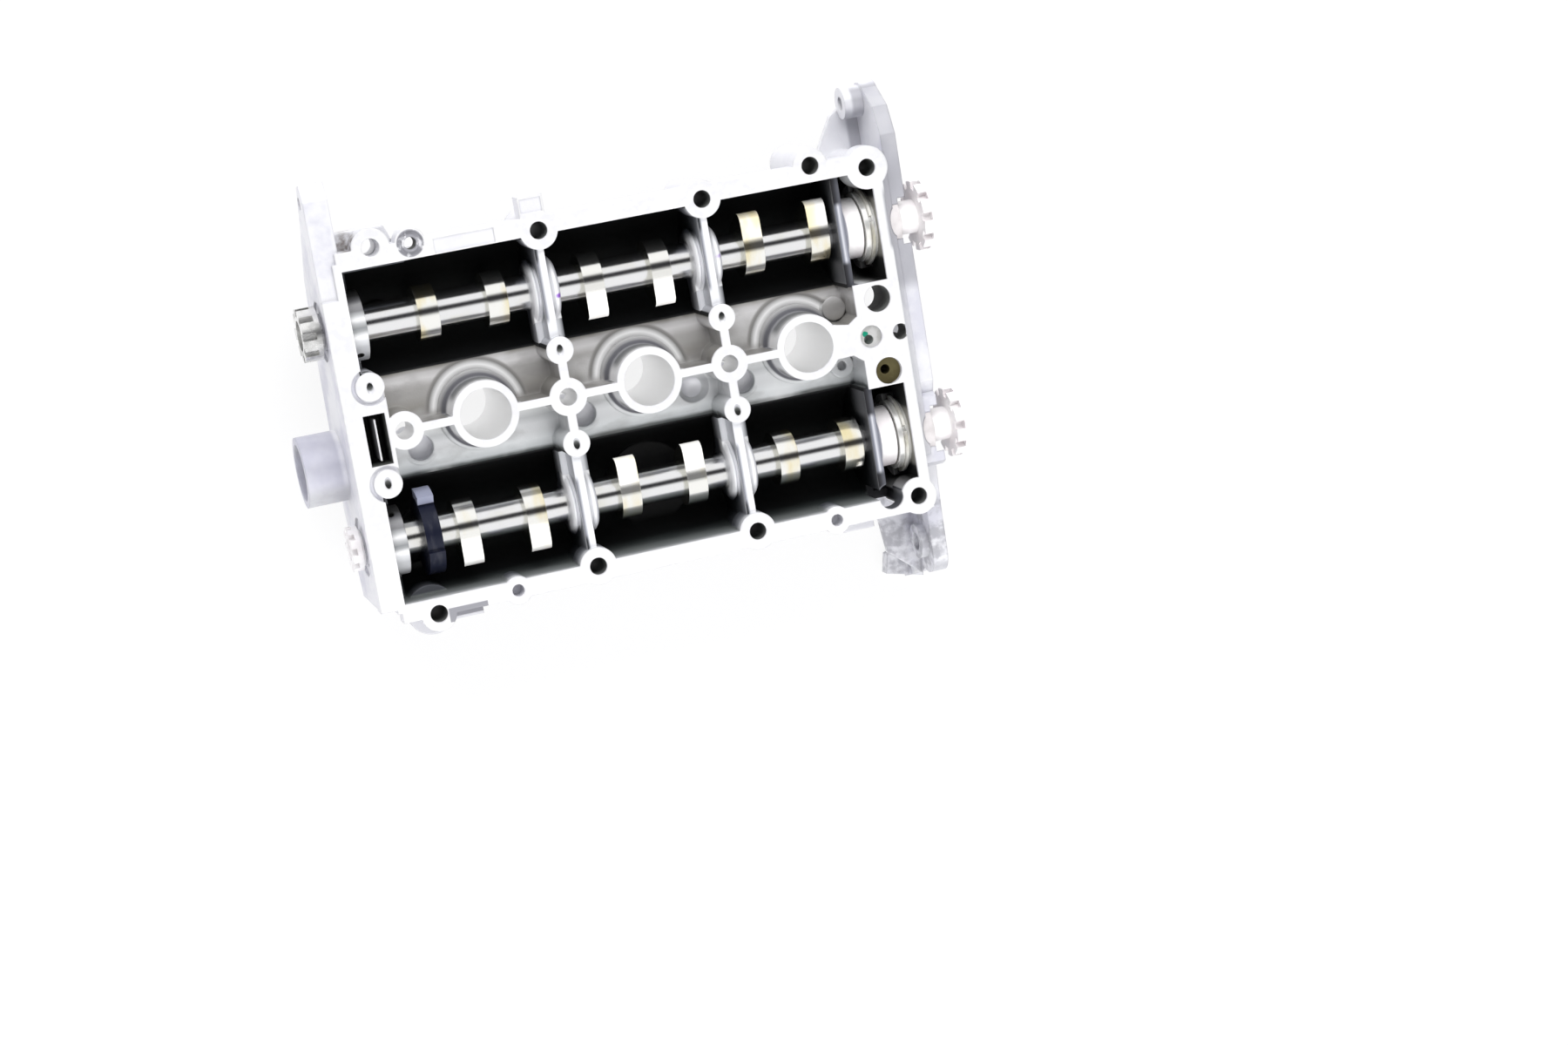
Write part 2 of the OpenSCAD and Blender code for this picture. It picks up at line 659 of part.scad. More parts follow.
module casting_cuts() {
    sealing_face_holes();
    for (y = [intake_y, -exhaust_y]) bearing_bores(y);
    for (x = concat([bay_rear_x + 3], mid_xs)) {
        oil_drilling(x, 1, intake_y);
        oil_drilling(x, -1, -exhaust_y);
    }
    for (x = plug_xs) coil_screw_cuts(x);
    rear_slot();
    drive_end_holes();
    rear_end_holes();
    outer_side_cuts();
    drive_pad_holes();
    face_reliefs();
    roof_form_cuts();
}

// Holes of the drive end pad, which take the oil parts
pad_hole_x = front_pad_x + 11.8;
pad_hole_r = 6.7;
pad_in_y = 17;
pad_ex_y = -19.4;
insert_depth = 22;
feed_x = front_pad_x + 5.6;
feed_r = 5.6;
feed_depth = 12;

module drive_pad_holes() {
    post(pad_hole_x, pad_in_y, pad_hole_r, -45, above);
    post(pad_hole_x, pad_ex_y, pad_hole_r, -insert_depth, above);
    post(feed_x, -1, feed_r, -feed_depth, above);
}

// Shallow machined steps in the sealing face
module face_reliefs() {
    // Pocket in the intake rail
    block([-plug_pitch - 10, intake_edge_y + 0.6, -0.6],
          [-plug_pitch + 19.4, intake_edge_y + 7.5, above]);
    // Bare cast pad beside the second bolt
    block([mid_xs[0] - pad_w / 2 - 0.8, intake_bolt_y + pad_len - 2, -0.6],
          [mid_xs[0] + pad_w / 2 - 2.8, intake_bolt_y + pad_len + 5, above]);
    // Ring step round the small intake stud
    translate([rear_bolt_x + 19, ring_boss_y, -1]) difference() {
        cylinder(h = 2, r = 6);
        translate([0, 0, -1]) cylinder(h = 4, r = 4.2);
    }
    // Relief grooves beside the rear oil bosses
    for (s = [-1, 1]) translate([bay_rear_x + 3, s * (oil_y + 0.6), -1.5]) difference() {
        cylinder(h = 3, r = 8.9);
        translate([0, 0, -1]) cylinder(h = 5, r = oil_boss_r + 0.3);
    }
    // Pocket in the drive end corner of the exhaust bay
    post(front_bolt_x - 14.2, exhaust_edge_y + 0.6, 6.2, -26, above);
}

module cover_casting() color([0.80, 0.81, 0.83]) difference() {
    union() {
        difference() {
            union() {
                flange();
                shell_solid();
            }
            shell_hollow();
        }
        intersection() {
            union() {
                bay_corners();
                bolt_columns();
                plug_line();
                rear_columns();
            }
            block([rear_face_x, rail_ex_y - 10, -stand_height], [wall_x1, rail_in_y + 10, 0]);
        }
        bearing_walls(intake_y, intake_mid_y, intake_trough_r);
        bearing_walls(-exhaust_y, exhaust_mid_y, exhaust_trough_r);
        for (x = plug_xs) coil_screw_boss(x);
        roof_forms();
        drive_end();
        rear_end();
        outer_side();
    }
    casting_cuts();
}

// Steel insert of the oil control bore
module oil_control_insert() color([0.42, 0.38, 0.24]) difference() {
    post(pad_hole_x, pad_ex_y, pad_hole_r - press_gap, -insert_depth, -2.5);
    post(pad_hole_x - 1.2, pad_ex_y + 0.8, 2.4, -insert_depth - 1, 0);
}

// Plug with the oil feed hole
module oil_feed_plug() color([0.74, 0.74, 0.72]) difference() {
    post(feed_x, -1, feed_r - press_gap, -feed_depth, -1.5);
    post(feed_x - 1.2, -2.4, 2.4, -feed_depth - 1, 0);
}

// Camshaft parts, in the frame of one shaft at height y
module shaft_tube(y) {
    difference() {
        bar(tube_x0, hub_x0, tube_d / 2, y, -cam_depth);
        bar(tube_x0 - 1, hub_x0 + 1, tube_bore_d / 2, y, -cam_depth);
    }
}

// Blank of one lobe, its nose towards +X: base circle, nose circle and tangent flanks
module lobe_blank() {
    reach = base_r + lift - nose_r;
    lean = asin((base_r - nose_r) / reach);
    s = sin(lean);
    c = cos(lean);
    cylinder(h = lobe_w, r = base_r);
    translate([reach, 0, 0]) cylinder(h = lobe_w, r = nose_r);
    linear_extrude(height = lobe_w) polygon([
        [0, 0], base_r * [s, c], [reach + nose_r * s, nose_r * c],
        [reach + nose_r * s, -nose_r * c], base_r * [s, -c]
    ]);
}

// Lobes count from the rear, two to each cylinder
module lobe(y, phases, i) {
    cyl = floor((i - 1) / 2);
    side = (i % 2 == 1) ? -1 : 1;
    x = plug_xs[cyl] + side * lobe_pair / 2;
    difference() {
        translate([x - lobe_w / 2, y, -cam_depth])
            rotate([phases[cyl], 0, 0]) rotate([90, 0, 90]) lobe_blank();
        bar(x - lobe_w, x + lobe_w, tube_d / 2 + press_gap, y, -cam_depth);
    }
}

// Notches round a disc, cut from the face at x0 towards +X
module notches(x0, x1, r, count, w, y) {
    for (i = [0:count - 1]) translate([0, y, -cam_depth]) rotate([i * 360 / count, 0, 0])
        block([x0, -w / 2, r - 3.5], [x1, w / 2, r + 2]);
}

module drive_nose(y) {
    difference() {
        union() {
            bar(hub_x0 - spigot_len, hub_x0 + 1, tube_bore_d / 2 - press_gap, y, -cam_depth);
            bar(hub_x0, hub_x1, hub_r, y, -cam_depth);
            bar(hub_x1 - 1, brg_x0, bearing_bore_d / 2 + 1.6, y, -cam_depth);
            bar(brg_x0 - 1, brg_x1 + 1, bearing_bore_d / 2 - press_gap, y, -cam_depth);
            bar(brg_x1 + 0.8, disc_x0 + 1, seal_seat_r, y, -cam_depth);
            bar(disc_x0, disc_x1, drive_disc_r, y, -cam_depth);
            bar(disc_x1 - 1, disc_x1 + 3, seal_seat_r - 1.4, y, -cam_depth);
        }
        notches(disc_x0 - 1, disc_x1 - 0.6, drive_disc_r, drive_slots, drive_slot_w, y);
        bar(disc_x1 - 26, disc_x1 + 4, 4.2, y, -cam_depth);
    }
}

coupling_slots = 9;

module rear_coupling(y, r, len) {
    difference() {
        union() {
            bar(tube_x0 - 1, tube_x0 + spigot_len, tube_bore_d / 2 - press_gap, y, -cam_depth);
            bar(coupling_x1 - 0.5, tube_x0, tube_d / 2, y, -cam_depth);
            bar(coupling_x1 - len, coupling_x1, r, y, -cam_depth);
        }
        notches(coupling_x1 - len - 1, coupling_x1 - 2.5, r, coupling_slots, 3.4, y);
        bar(coupling_x1 - len - 1, coupling_x1 - len + 4, r - 5.5, y, -cam_depth);
    }
}

// Ball bearing: races share one groove radius, and the cage keeps the balls apart
groove_r = ball_d / 2 + ball_gap;
outer_in_r = cage_ratio_r + 1.6;
inner_out_r = cage_ratio_r - 1.6;
brg_mid = (brg_x0 + brg_x1) / 2;
ring_x0 = brg_x0 + 2.7;
ring_x1 = ring_x0 + 1.2;
ring_groove = 0.9;

module bearing_outer_ring(y) {
    turned(y, -cam_depth) difference() {
        translate([outer_in_r, brg_x0])
            square([bearing_d / 2 - outer_in_r, bearing_w]);
        translate([cage_ratio_r, brg_mid]) circle(groove_r);
        translate([bearing_d / 2 - ring_groove, ring_x0 - 0.1]) square([3, ring_x1 - ring_x0 + 0.2]);
    }
}

module bearing_inner_ring(y) {
    turned(y, -cam_depth) difference() {
        translate([bearing_bore_d / 2, brg_x0])
            square([inner_out_r - bearing_bore_d / 2, bearing_w]);
        translate([cage_ratio_r, brg_mid]) circle(groove_r);
    }
}

module bearing_ball_set(y, r) {
    for (i = [0:ball_count - 1]) translate([brg_mid, y, -cam_depth])
        rotate([i * 360 / ball_count, 0, 0]) translate([0, cage_ratio_r, 0]) sphere(r);
}

module bearing_cage(y) {
    difference() {
        turned(y, -cam_depth) translate([cage_ratio_r - 0.9, brg_mid - ball_d / 2 - 0.8])
            square([1.8, ball_d + 1.6]);
        for (i = [0:ball_count - 1]) translate([brg_mid, y, -cam_depth])
            rotate([i * 360 / ball_count - 90, 0, 0])
                translate([0, 0, outer_in_r - 4]) cylinder(h = 8, d = ball_d + 0.3);
    }
}

// Open retaining ring in the groove of the outer ring, its gap on the sealing side
module retaining_ring(y) {
    gap = 3;
    difference() {
        turned(y, -cam_depth) translate([bearing_d / 2 - ring_groove + 0.05, ring_x0])
            square([2 + ring_groove, ring_x1 - ring_x0]);
        translate([ring_x0 - 1, y, -cam_depth]) rotate([-14, 0, 0])
            block([0, -gap / 2, 0], [4, gap / 2, bearing_d]);
    }
}

module shaft_seal(y) {
    turned(y, -cam_depth) difference() {
        translate([seal_seat_r + run_gap, seal_x0])
            square([seal_r - seal_seat_r - run_gap, seal_x1 - seal_x0 - side_gap]);
        translate([seal_seat_r + 1.4, seal_x0 - 1]) square([seal_r - seal_seat_r - 3.4, 5]);
        translate([seal_seat_r - 1, seal_x0 - 1]) square([2.2, 2.6]);
    }
}

// Sender wheel with one tall tooth and one long low tooth
wheel_x0 = rear_bolt_x + 1;
wheel_w = 8;
wheel_r = 18;

module sector(r, a0, a1) {
    intersection() {
        circle(r);
        polygon([[0, 0], 2 * r * [cos(a0), sin(a0)], 2 * r * [cos((a0 + a1) / 2), sin((a0 + a1) / 2)],
            2 * r * [cos(a1), sin(a1)]]);
    }
}

module trigger_wheel(y) {
    translate([wheel_x0, y, -cam_depth]) rotate([90, 0, 90])
        linear_extrude(height = wheel_w) difference() {
            union() {
                circle(wheel_r);
                sector(wheel_r + 5.2, 2, 32);
                sector(wheel_r + 2, 110, 240);
            }
            circle(tube_d / 2 + press_gap);
        }
}

steel = [0.78, 0.78, 0.76];
bright = [0.86, 0.86, 0.87];
lobe_tint = [0.82, 0.80, 0.70];

module intake_tube() color(bright) shaft_tube(intake_y);
module intake_drive_nose() color(bright) drive_nose(intake_y);
module intake_rear_coupling() color(steel) rear_coupling(intake_y, 13, 9);
module intake_bearing_outer_ring() color(steel) bearing_outer_ring(intake_y);
module intake_bearing_inner_ring() color(steel) bearing_inner_ring(intake_y);
module intake_bearing_balls() color(bright) bearing_ball_set(intake_y, ball_d / 2);
module intake_bearing_cage() color([0.62, 0.52, 0.32]) bearing_cage(intake_y);
module intake_retaining_ring() color([0.62, 0.60, 0.52]) retaining_ring(intake_y);
module intake_shaft_seal() color([0.55, 0.54, 0.52]) shaft_seal(intake_y);

module exhaust_tube() color(bright) shaft_tube(-exhaust_y);
module exhaust_drive_nose() color(bright) drive_nose(-exhaust_y);
module exhaust_rear_coupling() color(steel) rear_coupling(-exhaust_y, 11, 5);
module exhaust_bearing_outer_ring() color(steel) bearing_outer_ring(-exhaust_y);
module exhaust_bearing_inner_ring() color(steel) bearing_inner_ring(-exhaust_y);
module exhaust_bearing_balls() color(bright) bearing_ball_set(-exhaust_y, ball_d / 2);
module exhaust_bearing_cage() color([0.62, 0.52, 0.32]) bearing_cage(-exhaust_y);
module exhaust_retaining_ring() color([0.62, 0.60, 0.52]) retaining_ring(-exhaust_y);
module exhaust_shaft_seal() color([0.55, 0.54, 0.52]) shaft_seal(-exhaust_y);
module exhaust_trigger_wheel() color([0.12, 0.14, 0.19]) trigger_wheel(-exhaust_y);

cover_casting();
oil_control_insert();
oil_feed_plug();
intake_tube();
intake_drive_nose();
intake_rear_coupling();
intake_bearing_outer_ring();
intake_bearing_inner_ring();
intake_bearing_balls();
intake_bearing_cage();
intake_retaining_ring();
intake_shaft_seal();
exhaust_tube();
exhaust_drive_nose();
exhaust_rear_coupling();
exhaust_bearing_outer_ring();
exhaust_bearing_inner_ring();
exhaust_bearing_balls();
exhaust_bearing_cage();
exhaust_retaining_ring();
exhaust_shaft_seal();
exhaust_trigger_wheel();
for (i = [1:6]) {
    color(lobe_tint) lobe(intake_y, intake_phase, i);
    color(lobe_tint) lobe(-exhaust_y, exhaust_phase, i);
}
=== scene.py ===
import json

import bmesh
import bpy
from mathutils import Matrix

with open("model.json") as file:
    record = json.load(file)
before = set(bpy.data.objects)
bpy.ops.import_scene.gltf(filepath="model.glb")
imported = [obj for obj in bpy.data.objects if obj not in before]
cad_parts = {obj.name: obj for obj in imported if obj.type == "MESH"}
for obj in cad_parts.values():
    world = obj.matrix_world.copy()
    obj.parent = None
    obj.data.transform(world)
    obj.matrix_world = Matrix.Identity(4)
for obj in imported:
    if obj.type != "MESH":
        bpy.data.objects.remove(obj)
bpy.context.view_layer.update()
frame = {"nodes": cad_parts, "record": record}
nodes = frame["nodes"]
print("frame loaded:", len(nodes), "nodes")


class Value:  # a number or colour at every point of a surface
    def __init__(self, recipe, socket):
        self.recipe, self.socket = recipe, socket

    def maths(self, operation, *others):
        return self.recipe.add("ShaderNodeMath", {"operation": operation},
                               dict(enumerate((self, *others))))

    def __add__(self, other): return self.maths("ADD", other)
    def __sub__(self, other): return self.maths("SUBTRACT", other)
    def __mul__(self, other): return self.maths("MULTIPLY", other)
    def __truediv__(self, other): return self.maths("DIVIDE", other)
    def __abs__(self): return self.maths("ABSOLUTE")
    __radd__, __rmul__ = __add__, __mul__

    def __rsub__(self, other):
        return self.recipe.add("ShaderNodeMath", {"operation": "SUBTRACT"}, {0: other, 1: self})

    def ramp(self, start, end, kind="SMOOTHSTEP"):  # 0 at start, 1 at end
        return self.recipe.add("ShaderNodeMapRange", {"interpolation_type": kind},
                               {"Value": self, "From Min": start, "From Max": end})

    def stops(self, tones):  # a colour by place, from a table of places and colours
        low, high = tones[0][0], tones[-1][0]
        scaled = [((place - low) / (high - low), *colour) for place, *colour in tones]
        return self.recipe.add("ShaderNodeValToRGB", {"stops": scaled},
                               {"Fac": (self - low) * (1 / (high - low))})

    def blend(self, low, high):  # one colour where this is 0, the other where it is 1
        pair = [c if isinstance(c, Value) else (*c, 1) for c in (low, high)]
        return self.recipe.add("ShaderNodeMix", {"data_type": "RGBA"},
                               {"Factor": self, 6: pair[0], 7: pair[1]}, 2)

    def between(self, low, high):  # one number where this is 0, the other where it is 1
        return self * (high - low) + low

    def most(self, *others):  # the largest of several
        for other in others:
            self = self.maths("MAXIMUM", other)
        return self

    def least(self, *others):
        for other in others:
            self = self.maths("MINIMUM", other)
        return self


class Recipe:  # the nodes of one material, or of the world
    def __init__(self, tree):
        self.tree = tree
        tree.nodes.clear()

    def add(self, kind, settings=None, values=None, output=0):
        made = self.tree.nodes.new(kind)
        for key, setting in (settings or {}).items():
            if key == "stops":
                self.fill(made.color_ramp, setting)
            else:
                setattr(made, key, setting)
        for key, value in (values or {}).items():
            if isinstance(value, Value):
                self.tree.links.new(value.socket, made.inputs[key])
            else:
                made.inputs[key].default_value = value
        return Value(self, made.outputs[output] if made.outputs else None)

    def fill(self, ramp, stops):
        while len(ramp.elements) < len(stops):
            ramp.elements.new(1)
        for element, (place, *colour) in zip(ramp.elements, stops):
            element.position, element.color = place, (*colour, 1)

    def split(self, vector, scale=1):
        scaled = self.add("ShaderNodeVectorMath", {"operation": "SCALE"},
                          {0: vector, "Scale": scale})
        first = self.add("ShaderNodeSeparateXYZ", None, {0: scaled})
        return [Value(self, s) for s in first.socket.node.outputs]

    def spot(self, output="Object"):
        return Value(self, self.add("ShaderNodeTexCoord").socket.node.outputs[output])

    def place(self):  # object coordinates in millimetres
        return self.split(self.spot(), 1000)

    def noise(self, scale, detail=2, stretch=(1, 1, 1)):
        vector = self.add("ShaderNodeVectorMath", {"operation": "MULTIPLY"},
                          {0: self.spot(), 1: stretch})
        return self.add("ShaderNodeTexNoise", None,
                        {"Vector": vector, "Scale": scale, "Detail": detail})

    def rings(self, along, scale, detail=3):  # fine turned or ground lines
        return self.add("ShaderNodeTexNoise", {"noise_dimensions": "1D"},
                        {"W": along, "Scale": scale, "Detail": detail})

    def away(self, *parts):  # length of a vector given by its parts
        total = parts[0] * parts[0]
        for part in parts[1:]:
            total = total + part * part
        return total.maths("SQRT")

    def bump(self, height, depth, normal=None):  # depth in millimetres
        values = {"Height": height, "Distance": depth / 1000}
        if normal:
            values["Normal"] = normal
        return self.add("ShaderNodeBump", None, values)

    def edges(self, radius):  # small rounding of sharp edges, in millimetres
        return self.add("ShaderNodeBevel", {"samples": 6}, {"Radius": radius / 1000})

    def shade(self, **values):
        named = {key.replace("_", " "): value for key, value in values.items()}
        shader = self.add("ShaderNodeBsdfPrincipled", None, named)
        self.add("ShaderNodeOutputMaterial", None, {"Surface": shader})


finishes = {}


def newFinish(name):
    finishes[name] = bpy.data.materials.new(name)
    finishes[name].use_nodes = True
    return Recipe(finishes[name].node_tree)


# cast aluminium: machined faces, cast skin, and painted light and shade: dark troughs and
# drillings, lit roof, rings, seats and bores; places in mm
casting = {
    # troughs, shafts, bearing rings, plug bores and the seats at the drive end
    "troughY": (52.5, -54.7), "troughR": (27, 28), "bay": (-137.5, 107.3), "endWall": -137.2,
    "camZ": -21, "camMid": -1.5, "camOff": 53, "ringX": 41, "ringR": 15.9, "rearRingR": 17.8,
    "pitch": 82, "plugWall": 13.5, "roofHalf": 26.8, "roofX": (-128, 110), "seatX": (107.2, 134),
    # drillings as x, y, radius, after the bolt holes that stand on both sides
    "boltY": 83.0, "boltR": 4.3, "frontBoltX": 126,
    "drillings": ((-122, -90.5, 4.3), (97.5, 87.5, 4.4), (120.8, 17, 6.7), (130, -1.4, 4.0),
                  (-103, 87, 3.0)),
    "brightHoles": ((-41, 0, 4.3), (41, 0, 4.3), (-122, 0, 4.3)), "pocket": (111.8, -82.1, 6.6),
    "oil": (23, 1.6), "oilRear": -134.5, "oilLean": (1.4, 0.58),
    "slot": (-135.3, -2.0, 5.4, 12.5), "fin": (-135.4, 9.5),
    # marked places as x, y and size, or as x, y, z and size
    "ringBoss": (-103, 87, 6.9), "darkPad": (-107.5, -92.5, 9.5, 3.2), "stainAndShade": (-131.8, 91.3, 7.5),
    "paintSpots": ((45.9, 52.1, -7, 1.5), (110.9, -71.8, -7, 2.2), (-36.0, 48.5, -7, 1.2)),
    # plain tones, many of them painted light and shade
    "machined": (0.84, 0.84, 0.845), "handled": (0.78, 0.78, 0.80), "skin": (0.80, 0.80, 0.83),
    "lilac": (0.60, 0.60, 0.68), "portTone": (0.45, 0.45, 0.54), "worn": (0.32, 0.32, 0.35),
    "sideShade": (0.60, 0.605, 0.63), "sideShadeDull": (0.51, 0.51, 0.545), "plate": (0.40, 0.40, 0.435),
    "notchShade": (0.30, 0.27, 0.26), "paint": (0.30, 0.10, 0.62), "bore": (0.97, 0.97, 0.97),
    "troughShade": (0.004, 0.0045, 0.005), "shade": (0.05, 0.05, 0.045), "finShade": (0.16, 0.16, 0.17),
    "holeMouthShade": (0.13, 0.135, 0.13), "holeDeepShade": (0.006, 0.006, 0.006),
    "pocketMouthShade": (0.12, 0.125, 0.14), "pocketDeepShade": (0.01, 0.01, 0.012),
    "roofLight": (0.84, 0.84, 0.85), "roofSmear": (0.24, 0.235, 0.23),
    "towerHighlight": (0.92, 0.92, 0.93),
    "webShade": (0.03, 0.033, 0.038), "webHighlight": (0.82, 0.83, 0.86),
    "flankHighlight": (0.60, 0.61, 0.65), "crownShade": (0.06, 0.065, 0.08),
    "crownHighlight": (0.97, 0.97, 0.98), "crownFootShade": (0.05, 0.054, 0.065),
    # painted light and shade by place, as (place, red, green, blue)
    "roof": ((-27, .04, .045, .045), (-25, .09, .10, .10), (-23.5, .50, .52, .53),
             (-20, .64, .66, .67), (-16, .60, .61, .62), (-12, .62, .63, .64),
             (-8.5, .48, .49, .50), (-5, .64, .65, .65), (0, .30, .29, .28), (4, .22, .21, .20),
             (8, .31, .30, .28), (12, .38, .37, .36), (16, .42, .41, .40), (20, .66, .65, .65),
             (22.5, .55, .54, .54), (24.5, .24, .23, .21), (26.5, .05, .05, .045)),
    "towerSideLightAndShade": ((-22, .12, .12, .13), (-17, .16, .16, .18), (-14, .42, .42, .45),
                  (-11, .16, .165, .17), (-7, .22, .225, .23), (-4, .46, .46, .47),
                  (-1.5, .85, .85, .86), (0, .95, .95, .95)),
    "towerFootLightAndShade": ((16, .14, .14, .14), (18.6, .24, .24, .25), (20.4, .60, .60, .60),
                  (21.8, .90, .90, .90), (23, .60, .60, .60), (24.4, .17, .165, .16),
                  (26, .30, .29, .28)),
    "ring": ((-8, .14, .145, .17), (-7, .78, .79, .82), (-6, .95, .95, .97), (-4.4, .80, .81, .84),
             (-3.6, .95, .95, .97), (-2.6, .44, .45, .49), (-1.5, .30, .31, .35),
             (-0.9, .72, .73, .76), (-0.3, .95, .95, .96), (1.2, .95, .95, .96),
             (2.1, .66, .67, .70), (3.0, .84, .85, .87), (5.4, .93, .93, .95),
             (6.3, .60, .61, .66), (7.5, .28, .29, .33)),
    "web": ((-12, .02, .022, .026), (-8, .06, .063, .07), (-5, .15, .155, .17),
            (-2.7, .28, .29, .33), (-1.6, .82, .83, .86), (0, .93, .93, .94), (2, .95, .95, .96),
            (3.2, .55, .56, .60), (5, .20, .21, .23), (8, .05, .052, .06)),
    "flankShade": ((-40, .004, .004, .005), (-24, .02, .022, .026), (-12, .10, .105, .12),
              (-6, .28, .29, .32), (-2, .75, .76, .79)),
    "rearRingReflections": ((-15, .50, .51, .53), (-12, .66, .67, .69), (-9, .55, .56, .58),
                 (-6, .66, .67, .69), (-4, .92, .92, .93), (-1.6, .36, .37, .38),
                 (0, .28, .29, .30), (2, .50, .51, .52), (4, .92, .92, .93), (6, .46, .47, .48),
                 (8, .20, .20, .21), (11, .34, .34, .35), (13, .14, .14, .15), (15, .04, .04, .04)),
    "webFaceShade": ((-30, .002, .002, .002), (-3.5, .004, .004, .005), (-1.4, .02, .021, .026),
                (0, .24, .25, .29)),
    "seatSide": ((106.8, .004, .004, .005), (108.4, .03, .03, .035), (110, .09, .093, .11),
                 (112.4, .12, .124, .14), (113.4, .72, .73, .75), (116, .80, .81, .82),
                 (118, .50, .51, .51), (120, .24, .24, .24), (122, .08, .08, .08),
                 (125, .006, .006, .006), (128, .02, .02, .02), (130, .06, .06, .06),
                 (131.6, .24, .24, .25), (133, .60, .60, .62)),
    "outerWallShade": ((-31, .003, .0035, .004), (-25, .025, .03, .03), (-20, .06, .066, .066),
                  (-15, .10, .11, .11), (-10, .14, .15, .15), (-6, .19, .20, .205),
                  (-2, .42, .43, .44), (0, .62, .62, .64)),
    "seat": ((106.8, .12, .125, .14), (108, .20, .21, .25), (109, .66, .67, .72),
             (110.2, .28, .29, .34), (111.6, .20, .21, .25), (112.6, .30, .31, .35),
             (113.6, .86, .86, .87), (122, .95, .95, .94), (124, .52, .51, .48),
             (127.5, .30, .29, .26), (129, .06, .06, .06), (130.2, .36, .36, .37),
             (131.2, .85, .85, .87), (134, .92, .92, .93)),
}


class Spot:  # where a point of the casting lies: lengths in mm, and shares from 0 to 1
    def __init__(self, p):
        c = casting
        self.x, self.y, self.z = x, y, z = p.place()
        self.nx, self.ny, self.nz = p.split(p.spot("Normal"))
        self.cloud, self.speck, self.grain = p.noise(34, 3), p.noise(260, 4), p.noise(1100, 3)
        self.smear = p.noise(95, 4, (0.5, 1, 1))
        self.facing = self.nz.ramp(0.3, 0.75)

        # lengths from the shafts, the middle rings and the plug bores
        fromMid = y - c["camMid"]
        self.outward = abs(fromMid) - c["camOff"]       # from a shaft's axis towards its rail
        self.across = fromMid - fromMid.maths("SIGN") * c["camOff"]
        self.fromAxis = p.away(self.outward, z - c["camZ"])
        self.fromRing = x - x.maths("SIGN") * c["ringX"]
        self.plugR = p.away(abs(x).least(abs(abs(x) - c["pitch"])), y)

        # shares of the troughs and of their walls, which are painted black as shade
        below = (z - c["camZ"]).least(0)
        past = [p.away(y - mid, below) - r for mid, r in zip(c["troughY"], c["troughR"])]
        start, end = c["bay"]
        inBay = (x - start).ramp(-0.6, -0.4) * (x - end).ramp(0.2, -0.2)
        self.trough = past[0].ramp(0.9, 0.6).most(past[1].ramp(0.9, 0.6))
        self.inside = self.trough * inBay
        walls = [abs(gap).ramp(1.3, 0.7) * z.ramp(-0.6, -1.2) for gap in past]
        endWall = x.ramp(c["endWall"] + 0.6, c["endWall"]) * self.inside
        self.blackShade = (walls[0].most(walls[1]) * inBay).most(endWall)

        # share of the machined sealing face, which a worn ring and a darker pad break up
        bossX, bossY, bossR = c["ringBoss"]
        self.fromBoss = p.away(x - bossX, y - bossY) - bossR
        step = self.fromBoss.ramp(0, -0.6) * self.speck.ramp(0.3, 0.45)
        self.face = z.ramp(-0.35, -0.25) * self.nz.ramp(0.9, 0.97) * (1 - step)
        padX, padY, halfX, halfY = c["darkPad"]
        self.pad = abs(x - padX).ramp(halfX + 0.5, halfX) * abs(y - padY).ramp(halfY + 0.5, halfY)


def castSkin(p, at):
    c = casting
    x, y, speck = at.x, at.y, at.speck
    clouded = (at.cloud + (speck - 0.5) * 0.25).ramp(0.40, 0.66).between(0, 0.75)
    # lilac-grey patches at random, heavier on the end plates as painted shade
    shadedEnds = x.ramp(-138, -140).most(x.ramp(131, 134))
    colour = (clouded * shadedEnds.between(0.25, 1)).blend(c["skin"], c["lilac"])

    # painted grey-brown shade in the notch beside the rear bolt, then the port, the worn ring, a
    # darker pad and the smeared leg
    stainX, stainY, size = c["stainAndShade"]
    stainAndShade = (p.away(x - stainX, y - stainY) + at.smear * 8).ramp(size + 3.5, size)
    stainAndShade = stainAndShade * at.z.ramp(-0.4, -0.8) * speck.ramp(0.35, 0.6)
    colour = stainAndShade.blend(colour, c["notchShade"])
    port = x.ramp(-151, -153) * at.cloud.between(0.25, 1)
    colour = port.blend(colour, c["portTone"])
    boss = at.fromBoss.ramp(0.6, 0) * speck.ramp(0.36, 0.5)
    smeared = (at.smear + (speck - 0.5) * 0.5).ramp(0.42, 0.66) * 0.7
    leg = y.ramp(-91, -94) * x.ramp(113, 116) * smeared
    colour = boss.most(leg, at.pad).blend(colour, c["worn"])

    # painted shade: a darker mottled tone on the sides facing +x and -y and underneath
    turned = at.nz.ramp(-0.1, -0.6).most(at.nx.ramp(0.2, 0.7), at.ny.ramp(-0.2, -0.7))
    sideShadeTone = (at.cloud + (speck - 0.5) * 0.4).ramp(0.38, 0.66).blend(c["sideShade"], c["sideShadeDull"])
    return turned.blend(colour, sideShadeTone)


